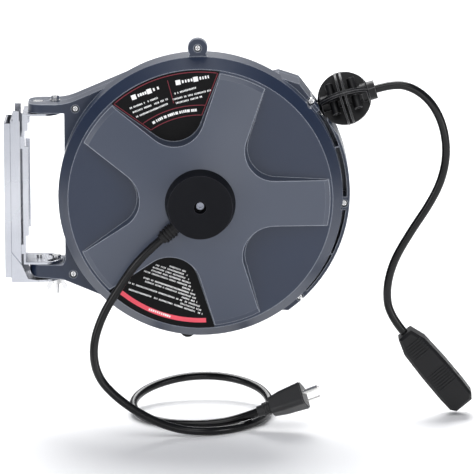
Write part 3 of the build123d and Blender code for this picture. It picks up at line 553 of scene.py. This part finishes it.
def makeFinish(name, look):
    finish = bpy.data.materials.new(name)
    finish.use_nodes = True
    tree = finish.node_tree
    new, link = tree.nodes.new, tree.links.new
    shader = tree.nodes["Principled BSDF"]
    shader.inputs["Metallic"].default_value = look["metallic"]
    shader.inputs["Specular IOR Level"].default_value = look["gloss"]
    grain = new("ShaderNodeGroup")
    grain.node_tree = fineGrain
    grain.inputs["Size"].default_value = look["grain"]
    grain.inputs["Strength"].default_value = look["bump"]
    grain.inputs["Roughness"].default_value = look["roughness"]
    grain.inputs["Spread"].default_value = look["spread"]
    tint = new("ShaderNodeMix")
    tint.data_type = "RGBA"
    tint.inputs["A"].default_value = (*look["colour"], 1)
    tint.inputs["B"].default_value = (*look["cloudColour"], 1)
    link(grain.outputs["Cloud"], tint.inputs["Factor"])
    colour = tint.outputs["Result"]
    # painted light: faces in front of raisedAbove get the lighter colour, so the recessed pocket floors
    # stay darker as painted shade
    if "raisedLitColour" in look:
        place = new("ShaderNodeTexCoord")
        split = new("ShaderNodeSeparateXYZ")
        link(place.outputs["Object"], split.inputs["Vector"])
        raised = new("ShaderNodeMapRange")
        raised.inputs["From Min"].default_value = -look["raisedAbove"]
        raised.inputs["From Max"].default_value = -look["raisedAbove"] - look["raisedFade"]
        link(split.outputs["Y"], raised.inputs["Value"])
        lighter = new("ShaderNodeMix")
        lighter.data_type = "RGBA"
        lighter.inputs["B"].default_value = (*look["raisedLitColour"], 1)
        link(raised.outputs["Result"], lighter.inputs["Factor"])
        link(colour, lighter.inputs["A"])
        colour = lighter.outputs["Result"]
    # painted highlight along the edges: the edge mask lays edgeColour there
    if look["edge"] > 0:
        edgeMask = new("ShaderNodeGroup")
        edgeMask.node_tree = edgeWear
        edgeMask.inputs["Width"].default_value = look.get("edgeWidth", edgeHighlightAndWearLook["width"])
        amount = new("ShaderNodeMath")
        amount.operation = "MULTIPLY"
        amount.inputs[1].default_value = look["edge"]
        link(edgeMask.outputs["Mask"], amount.inputs[0])
        edged = new("ShaderNodeMix")
        edged.data_type = "RGBA"
        edged.inputs["B"].default_value = (*look["edgeColour"], 1)
        link(amount.outputs[0], edged.inputs["Factor"])
        link(colour, edged.inputs["A"])
        colour = edged.outputs["Result"]
    link(colour, shader.inputs["Base Color"])
    link(grain.outputs["Roughness"], shader.inputs["Roughness"])
    link(grain.outputs["Normal"], shader.inputs["Normal"])
    return finish


finish = {name: makeFinish(name, look) for name, look in finishes.items()}
print("stage: finishes,", len(finish))

# the parts that keep their own shape
finishOfPart = {
    "shellPaint": ("front_case", "rear_case"),
    "hubPlastic": ("hub_cap",),
    "blackNylon": (
        "stop_ball_upper", "stop_ball_lower", "brush_holder", "slip_ring_carrier", "outlet_frame",
    ),
    "softRubber": ("bottom_bumper", "hub_strain_relief", "socket_body"),
    "plugVinyl": ("plug_body", "plug_relief"),
    "zincPlate": (
        "wall_plate", "bracket_carrier", "swivel_yoke", "support_bracket", "drum_core",
        "drum_front_flange", "drum_rear_flange", "ratchet_ring", "pawl", "axle",
    ),
    "brightScrew": (
        "carrier_bolts", "support_bolts", "pivot_bolt_upper", "pivot_bolt_lower", "lock_bolt_upper",
        "lock_stud", "wing_nut", "pawl_pin", "stop_ball_screws",
    ),
    "blueSpringSteel": ("hub_screw", "spring_case", "spring_cover", "power_spring", "pawl_spring"),
    "turnedBrass": ("slip_rings",),
    "sinteredBronze": ("front_bush", "rear_bush"),
    "naturalNylon": ("roller_above", "roller_below", "roller_front", "roller_rear"),
    "pressedCarbon": ("brushes",),
    "labelFilm": ("upper_label", "lower_label"),
    "cordJacket": ("wound_cord", "lead_in_cord"),
    "nickelPlate": ("plug_blades",),
}
for finishName, partNames in finishOfPart.items():
    for partName in partNames:
        for materialSlot in nodes[partName].material_slots:
            materialSlot.material = finish[finishName]
print("stage: parts finished")


def applyTree(base, tree, values, name):
    # runs the tree on base and gives back its result as a plain mesh
    holder = bpy.data.objects.new(name + "Base", base)
    bpy.context.scene.collection.objects.link(holder)
    modifier = holder.modifiers.new("shape", "NODES")
    modifier.node_group = tree
    for item in tree.interface.items_tree:
        if item.item_type == "SOCKET" and item.in_out == "INPUT" and item.name in values:
            modifier[item.identifier] = values[item.name]
    graph = bpy.context.evaluated_depsgraph_get()
    mesh = bpy.data.meshes.new_from_object(holder.evaluated_get(graph), depsgraph=graph)
    bpy.data.objects.remove(holder)
    mesh.name = name
    return mesh


def pointMesh(name, points, edges=(), **values):
    mesh = bpy.data.meshes.new(name)
    mesh.from_pydata([tuple(point) for point in points], list(edges), [])
    for valueName, numbers in values.items():
        field = mesh.attributes.new(valueName, "FLOAT", "POINT")
        field.data.foreach_set("value", numbers)
    return mesh


def finishTree(tree, place, finishSocket, end):
    # makes the instances real and gives them their finish
    new, link = tree.nodes.new, tree.links.new
    real = new("GeometryNodeRealizeInstances")
    link(place.outputs["Instances"], real.inputs["Geometry"])
    paint = new("GeometryNodeSetMaterial")
    link(real.outputs["Geometry"], paint.inputs["Geometry"])
    link(finishSocket, paint.inputs["Material"])
    link(paint.outputs["Geometry"], end.inputs["Geometry"])


def printedRowsTree():
    # rows of upright bars along each edge of the base mesh, with gaps between words
    tree = startTree(
        "printedRows",
        "GeometryNodeTree",
        inputs=(
            ("Geometry", "NodeSocketGeometry", None),
            ("Pitch", "NodeSocketFloat", 0.0014),
            ("Bar Width", "NodeSocketFloat", 0.001),
            ("Bar Height", "NodeSocketFloat", 0.002),
            ("Thickness", "NodeSocketFloat", 0.00008),
            ("Fill", "NodeSocketFloat", 0.82),
            ("Seed", "NodeSocketInt", 7),
            ("Ink", "NodeSocketMaterial", None),
        ),
        outputs=(("Geometry", "NodeSocketGeometry"),),
    )
    new, link = tree.nodes.new, tree.links.new
    start, end = new("NodeGroupInput"), new("NodeGroupOutput")
    rows = new("GeometryNodeMeshToCurve")
    link(start.outputs["Geometry"], rows.inputs["Mesh"])
    spots = new("GeometryNodeResampleCurve")
    spots.mode = "LENGTH"
    link(rows.outputs["Curve"], spots.inputs["Curve"])
    link(start.outputs["Pitch"], spots.inputs["Length"])
    along = new("GeometryNodeInputTangent")
    turn = new("FunctionNodeAlignRotationToVector")
    turn.axis = "X"
    link(along.outputs["Tangent"], turn.inputs["Vector"])
    keep = new("FunctionNodeRandomValue")
    keep.data_type = "BOOLEAN"
    link(start.outputs["Fill"], keep.inputs["Probability"])
    link(start.outputs["Seed"], keep.inputs["Seed"])
    vary = new("FunctionNodeRandomValue")
    vary.data_type = "FLOAT"
    vary.inputs[2].default_value = 0.6
    vary.inputs[3].default_value = 1.1
    link(start.outputs["Seed"], vary.inputs["Seed"])
    width = new("ShaderNodeMath")
    width.operation = "MULTIPLY"
    link(start.outputs["Bar Width"], width.inputs[0])
    link(vary.outputs[1], width.inputs[1])
    size = new("ShaderNodeCombineXYZ")
    link(width.outputs[0], size.inputs["X"])
    link(start.outputs["Thickness"], size.inputs["Y"])
    link(start.outputs["Bar Height"], size.inputs["Z"])
    bar = new("GeometryNodeMeshCube")
    place = new("GeometryNodeInstanceOnPoints")
    link(spots.outputs["Curve"], place.inputs["Points"])
    link(bar.outputs["Mesh"], place.inputs["Instance"])
    link(keep.outputs[3], place.inputs["Selection"])
    link(turn.outputs["Rotation"], place.inputs["Rotation"])
    link(size.outputs["Vector"], place.inputs["Scale"])
    finishTree(tree, place, start.outputs["Ink"], end)
    return tree


def setOnPointsTree():
    # one shape set on every point of the base mesh, sized by the points' own values
    tree = startTree(
        "setOnPoints",
        "GeometryNodeTree",
        inputs=(
            ("Geometry", "NodeSocketGeometry", None),
            ("Shape", "NodeSocketObject", None),
            ("Turn", "NodeSocketVector", None),
            ("Finish", "NodeSocketMaterial", None),
        ),
        outputs=(("Geometry", "NodeSocketGeometry"),),
    )
    new, link = tree.nodes.new, tree.links.new
    start, end = new("NodeGroupInput"), new("NodeGroupOutput")
    shape = new("GeometryNodeObjectInfo")
    link(start.outputs["Shape"], shape.inputs["Object"])
    size = new("ShaderNodeCombineXYZ")
    for axis, valueName in (("X", "sizeX"), ("Y", "sizeY"), ("Z", "sizeZ")):
        value = new("GeometryNodeInputNamedAttribute")
        value.data_type = "FLOAT"
        value.inputs["Name"].default_value = valueName
        link(value.outputs["Attribute"], size.inputs[axis])
    place = new("GeometryNodeInstanceOnPoints")
    link(start.outputs["Geometry"], place.inputs["Points"])
    link(shape.outputs["Geometry"], place.inputs["Instance"])
    link(start.outputs["Turn"], place.inputs["Rotation"])
    link(size.outputs["Vector"], place.inputs["Scale"])
    finishTree(tree, place, start.outputs["Finish"], end)
    return tree


printedRows = printedRowsTree()
setOnPoints = setOnPointsTree()


def meshOf(bm, name):
    bmesh.ops.remove_doubles(bm, verts=bm.verts, dist=1e-7)
    bmesh.ops.recalc_face_normals(bm, faces=bm.faces)
    mesh = bpy.data.meshes.new(name)
    bm.to_mesh(mesh)
    bm.free()
    return mesh


def joined(name, meshesOfFinish):
    # several meshes as one, with one material slot for each finish
    whole = bmesh.new()
    result = bpy.data.meshes.new(name)
    for index, (finishName, meshes) in enumerate(meshesOfFinish.items()):
        for mesh in meshes:
            before = len(whole.faces)
            whole.from_mesh(mesh)
            whole.faces.ensure_lookup_table()
            for face in whole.faces[before:]:
                face.material_index = index
            bpy.data.meshes.remove(mesh)
        result.materials.append(finish[finishName])
    whole.to_mesh(result)
    whole.free()
    return result


def addPiece(name, mesh, body):
    piece = bpy.data.objects.new(name, mesh)
    bpy.context.scene.collection.objects.link(piece)
    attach(piece, body)
    return piece


def reelPoint(x, z, depth):
    return Vector((hub.x + x * mm, -depth * mm, hub.z + z * mm))


def polar(radius, angle):
    return radius * cos(radians(angle)), radius * sin(radians(angle))


# the print on the two labels, in mm from the hub
labelPrint = {
    "face": 69.5,  # from the parting plane, in mm
    "raised": 0.08,
    "tip": 52.6,  # where the outline's two sides would meet
    "halfAngle": 37.5,
    "inner": 95.0,
    "outer": 142.8,
    "sunk": 0.02,  # how far a line's underside lies below the face
    "upperMiddle": 106.8,  # degrees
    "lowerMiddle": 250.8,
    "outlineWidth": 0.9,
    "arcRadius": 106,
    "arcEnds": (86.8, 126.8),
    "arcWidth": 0.9,
    "dividerAngle": 105,
    "dividerEnds": (112, 138),
    "dividerWidth": 0.7,
    "sizesRadius": 100.5,
    "sizesAngles": (118.2, 110.2, 102.7, 95.2),
    "sizesLength": 6.4,
    "sizesSquareAngles": (120.4, 112.4, 104.9, 97.4),
    "sizesSquare": 3.0,
    "titleSquare": 5.4,
    "rowsFrom": 82,  # the lower label's first row, from the hub
    "rowGap": 3.6,
    "bandRadius": 136.5,
    "bandEnds": (228.7, 272.5),
    "bandWidth": 5.0,
    "bandMarkEnds": (245.5, 255.5),
}
printStyles = {
    "smallText": {"pitch": 1.45, "width": 1.05, "height": 1.9, "fill": 0.86, "seed": 3, "lift": 0},
    "boldWords": {"pitch": 2.5, "width": 2.1, "height": 3.2, "fill": 0.97, "seed": 5, "lift": 0},
    "arcWords": {"pitch": 2.1, "width": 1.8, "height": 3.0, "fill": 0.97, "seed": 8, "lift": 0},
    "lowerText": {"pitch": 1.45, "width": 1.0, "height": 1.8, "fill": 0.86, "seed": 13, "lift": 0},
    "bandMarks": {"pitch": 2.3, "width": 1.9, "height": 2.4, "fill": 0.9, "seed": 17, "lift": 0.05},
}


def ribbon(name, points, width, closed=False):
    # flat strip of one width along points (x, z) on the label's face
    top = labelPrint["face"] + labelPrint["raised"]
    under = labelPrint["face"] - labelPrint["sunk"]
    path = [Vector(point) for point in points]
    count = len(path)
    sides = []
    for index, point in enumerate(path):
        if closed:
            before, after = path[index - 1], path[(index + 1) % count]
        else:
            before, after = path[max(index - 1, 0)], path[min(index + 1, count - 1)]
        run = (after - before).normalized()
        sides.append((point, Vector((-run.y, run.x)) * width / 2))
    bm = bmesh.new()
    rings = []
    for point, side in sides:
        corners = []
        for sign, depth in ((1, under), (1, top), (-1, top), (-1, under)):
            spot = point + side * sign
            corners.append(bm.verts.new(reelPoint(spot.x, spot.y, depth)))
        rings.append(corners)
    spans = range(count) if closed else range(count - 1)
    for index in spans:
        near, far = rings[index], rings[(index + 1) % count]
        for k in range(4):
            bm.faces.new((near[k], near[(k + 1) % 4], far[(k + 1) % 4], far[k]))
    if not closed:
        bm.faces.new(rings[0])
        bm.faces.new(rings[-1][::-1])
    return meshOf(bm, name)


def arcPoints(radius, start, end, step=1.0):
    count = max(2, int(abs(end - start) / step) + 1)
    return [polar(radius, start + (end - start) * k / (count - 1)) for k in range(count)]


def labelOutline(middle):
    # sector with its sides parallel to the pocket's walls
    tip, half = labelPrint["tip"], radians(labelPrint["halfAngle"])
    corners = []
    for radius in (labelPrint["inner"], labelPrint["outer"]):
        reach = -tip * cos(half) + (radius ** 2 - (tip * sin(half)) ** 2) ** 0.5
        corners.append(degrees(atan2(reach * sin(half), tip + reach * cos(half))))
    inner = arcPoints(labelPrint["inner"], middle + corners[0], middle - corners[0])
    outer = arcPoints(labelPrint["outer"], middle - corners[1], middle + corners[1])
    return inner + outer


def printRows(styleName, rows):
    # rows run from (x, z) to (x, z) on the label's face
    style = printStyles[styleName]
    depth = labelPrint["face"] + labelPrint["raised"] / 2 + style["lift"]
    points, edges = [], []
    for x0, z0, x1, z1 in rows:
        edges.append((len(points), len(points) + 1))
        points += [reelPoint(x0, z0, depth), reelPoint(x1, z1, depth)]
    values = {
        "Pitch": style["pitch"] * mm,
        "Bar Width": style["width"] * mm,
        "Bar Height": style["height"] * mm,
        "Thickness": labelPrint["raised"] * mm,
        "Fill": style["fill"],
        "Seed": style["seed"],
        "Ink": finish["whiteInk"],
    }
    return applyTree(pointMesh(styleName, points, edges), printedRows, values, styleName)


def radialRow(outwards, start, end):
    # a row across the lower label: outwards along its middle, start and end to its right
    outX, outZ = polar(1, labelPrint["lowerMiddle"])
    sideX, sideZ = -outZ, outX
    row = []
    for reach in (start, end):
        row += [outwards * outX + reach * sideX, outwards * outZ + reach * sideZ]
    return row


def arcRow(radius, angle, length):
    # a straight row that starts on the arc and runs clockwise along it
    x, z = polar(radius, angle)
    alongX, alongZ = sin(radians(angle)), -cos(radians(angle))
    return x, z, x + length * alongX, z + length * alongZ


# x, z of each row's start and end
upperText = [
    (-78, 102, -47, 114), (-74.6, 97.5, -33.4, 113.9), (-69.8, 92.9, -36.2, 107.4),
    (-27.4, 118.9, -5.3, 125.4), (-29.8, 112.3, 11, 122.6), (-26.2, 108.2, 1.4, 115.5),
]
upperWords = [
    (-67.4, 116.8, -59.8, 119.7), (-50.6, 123.4, -46.2, 125.0),
    (-19, 132.2, -9.4, 134), (0.2, 135.9, 8.8, 137.5),
]
# x, z and turn in degrees
upperSquares = [
    (-72.6, 114.8, 20.9), (-55.8, 121.4, 20.9), (-24.2, 131.2, 10.6), (-5, 134.9, 10.6),
]
# start and end of each row, to the right of the label's middle
lowerText = [
    (-7, 10.7), (-22, 14), (-24, 17), (-24.5, 20), (-32, 23), (14, 25),
    (-30, 29), (-27, 31), (17, 34), (-44, 38), (18, 41), (-41, 44),
]


def square(x, z, turn, size):
    # a short stroke as wide as it is long
    dx, dz = polar(size / 2, turn)
    return ribbon("square", [(x - dx, z - dz), (x + dx, z + dz)], size)


def arcLine(name, radius, ends, width):
    return ribbon(name, arcPoints(radius, *ends), width)


def upperPrint(look):
    angle = look["dividerAngle"]
    divider = [polar(radius, angle) for radius in look["dividerEnds"]]
    sizes = [arcRow(look["sizesRadius"], mark, look["sizesLength"]) for mark in look["sizesAngles"]]
    white = [
        printRows("smallText", upperText),
        printRows("boldWords", upperWords),
        printRows("arcWords", sizes),
    ]
    white += [square(x, z, turn, look["titleSquare"]) for x, z, turn in upperSquares]
    for mark in look["sizesSquareAngles"]:
        white.append(square(*polar(look["sizesRadius"], mark), mark - 90, look["sizesSquare"]))
    red = [
        arcLine("redArc", look["arcRadius"], look["arcEnds"], look["arcWidth"]),
        ribbon("redDivider", divider, look["dividerWidth"]),
        ribbon("outline", labelOutline(look["upperMiddle"]), look["outlineWidth"], closed=True),
    ]
    return {"whiteInk": white, "darkRedInk": red}


def lowerPrint(look):
    rows = []
    for k, ends in enumerate(lowerText):
        rows.append(radialRow(look["rowsFrom"] + look["rowGap"] * k, *ends))
    marks = [part for angle in look["bandMarkEnds"] for part in polar(look["bandRadius"], angle)]
    white = [printRows("lowerText", rows), printRows("bandMarks", [marks])]
    red = [arcLine("redBand", look["bandRadius"], look["bandEnds"], look["bandWidth"])]
    return {"whiteInk": white, "redInk": red}


for labelName, inks in (
    ("upperLabelPrint", upperPrint(labelPrint)),
    ("lowerLabelPrint", lowerPrint(labelPrint)),
):
    addPiece(labelName, joined(labelName, inks), "casing")
print("stage: labels printed")

screwLook = {
    "headRadius": 3.8,
    "headHeight": 2.6,
    "crossWidth": 1.0,
    "crossReach": 2.2,
    "crossDepth": 1.3,
    "crossTaper": 0.45,
    "shank": 2.0,
    # the dome's rings, as parts of the head's radius and height
    "dome": ((0.72, 1.0), (0.9, 0.86), (0.98, 0.62), (1.0, 0.3), (1.0, 0.0)),
    "steps": 32,
    # x and z from the hub, the head's seat and the shank's length
    "spots": (
        (*polar(159.8, 40.3), 31, 43), (*polar(159.3, -4.2), 31, 43), (*polar(161.5, -47.1), 31, 43),
        (-138.6, 92.7, 20, 32), (-142.3, -95.1, 20, 32), (*polar(166, 91), 49, 24),
    ),
}


def panHead(look):
    # domed head on its seat at Z 0, with a four-armed recess that tapers inwards
    bm = bmesh.new()
    steps, taper = look["steps"], look["crossTaper"]
    half, reach = look["crossWidth"] / 2, look["crossReach"]
    crown = [
        (reach, half), (half, half), (half, reach), (-half, reach), (-half, half), (-reach, half),
        (-reach, -half), (-half, -half), (-half, -reach), (half, -reach), (half, -half), (reach, -half),
    ]
    top = look["headHeight"]
    rim = [bm.verts.new((x, y, top)) for x, y in crown]
    floor = [bm.verts.new((x * taper, y * taper, top - look["crossDepth"])) for x, y in crown]
    rings = []
    for radius, height in look["dome"]:
        ring = []
        for k in range(steps):
            angle = 2 * pi * (k + 0.5) / steps
            reachOut = radius * look["headRadius"]
            ring.append(bm.verts.new((reachOut * cos(angle), reachOut * sin(angle), height * top)))
        rings.append(ring)
    for near, far in zip(rings, rings[1:]):
        for k in range(steps):
            bm.faces.new((near[k], near[(k + 1) % steps], far[(k + 1) % steps], far[k]))
    bm.faces.new(rings[-1][::-1])
    arms = len(crown)
    for k in range(arms):
        bm.faces.new((rim[k], rim[(k + 1) % arms], floor[(k + 1) % arms], floor[k]))
    bm.faces.new(floor)
    crownEdges = [bm.edges.get((rim[k], rim[(k + 1) % arms])) for k in range(arms)]
    ringEdges = [bm.edges.get((rings[0][k], rings[0][(k + 1) % steps])) for k in range(steps)]
    bmesh.ops.triangle_fill(bm, use_beauty=True, edges=crownEdges + ringEdges)
    bmesh.ops.scale(bm, vec=(mm, mm, mm), verts=bm.verts)
    return meshOf(bm, "panHead")


def plainRod(radius):
    bm = bmesh.new()
    bmesh.ops.create_cone(
        bm, cap_ends=True, segments=20, radius1=radius * mm, radius2=radius * mm, depth=1,
        matrix=Matrix.Translation((0, 0, -0.5)),
    )
    return meshOf(bm, "plainRod")


def setShapes(name, spots, shape, turn, finishName, sizeX, sizeY, sizeZ):
    # a copy of the shape at every spot, each with its own size
    base = pointMesh(name, spots, sizeX=sizeX, sizeY=sizeY, sizeZ=sizeZ)
    shapeObject = bpy.data.objects.new(shape.name, shape)
    values = {"Shape": shapeObject, "Turn": turn, "Finish": finish[finishName]}
    mesh = applyTree(base, setOnPoints, values, name)
    bpy.data.objects.remove(shapeObject)
    return mesh


def screwMeshes(look):
    seats = [reelPoint(x, z, seat) for x, z, seat, length in look["spots"]]
    lengths = [length * mm for x, z, seat, length in look["spots"]]
    even = [1.0] * len(seats)
    turn = (pi / 2, 0, 0)
    rod = plainRod(look["shank"])
    return [
        setShapes("heads", seats, panHead(look), turn, "brightScrew", even, even, even),
        setShapes("shanks", seats, rod, turn, "brightScrew", even, even, lengths),
    ]


screwMesh = joined("casingScrews", {"brightScrew": screwMeshes(screwLook)})
casingScrews = addPiece("casingScrews", screwMesh, "casing")
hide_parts("case_screws")
print("stage: casing screws")

gripRibs = {
    "pitch": 3.3,
    "width": 1.7,
    "height": 1.3,
    "rounding": 0.18,
    "across": 1.5,  # off the body's middle line
    "bands": ((13, 32, 21), (55, 78, 25)),  # start, end and the ribs' length
    "start": (446.5, -157.5),  # where the outlet body begins, in x and z
    "along": (0.638, -0.770),
    "bodyThickness": 28.0,
}


def ribBlock(rounding):
    bm = bmesh.new()
    bmesh.ops.create_cube(bm, size=1)
    bmesh.ops.bevel(bm, geom=bm.edges[:], offset=rounding, segments=2, affect="EDGES")
    return meshOf(bm, "ribBlock")


def ribMesh(look):
    alongX, alongZ = look["along"]
    spots, lengths = [], []
    for start, end, length in look["bands"]:
        for k in range(int((end - start) / look["pitch"]) + 1):
            along = start + k * look["pitch"]
            x = look["start"][0] + along * alongX + look["across"] * -alongZ
            z = look["start"][1] + along * alongZ + look["across"] * alongX
            for side in (-1, 1):
                spots.append(Vector((x * mm, -side * look["bodyThickness"] / 2 * mm, z * mm)))
                lengths.append(length * mm)
    widths = [look["width"] * mm] * len(spots)
    depths = [2 * look["height"] * mm] * len(spots)
    turn = (0, atan2(-alongZ, alongX), 0)
    block = ribBlock(look["rounding"])
    return setShapes("socketRibs", spots, block, turn, "softRubber", widths, depths, lengths)


outletRibs = addPiece("outletRibs", ribMesh(gripRibs), "casing")
print("stage: grip ribs")

for cord, partName in ((outletCord, "outlet_cord"), (mainsLead, "mains_lead")):
    cord.data.materials.append(finish["cordJacket"])
    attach(cord, "casing")
    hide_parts(partName)

print("stage: done")
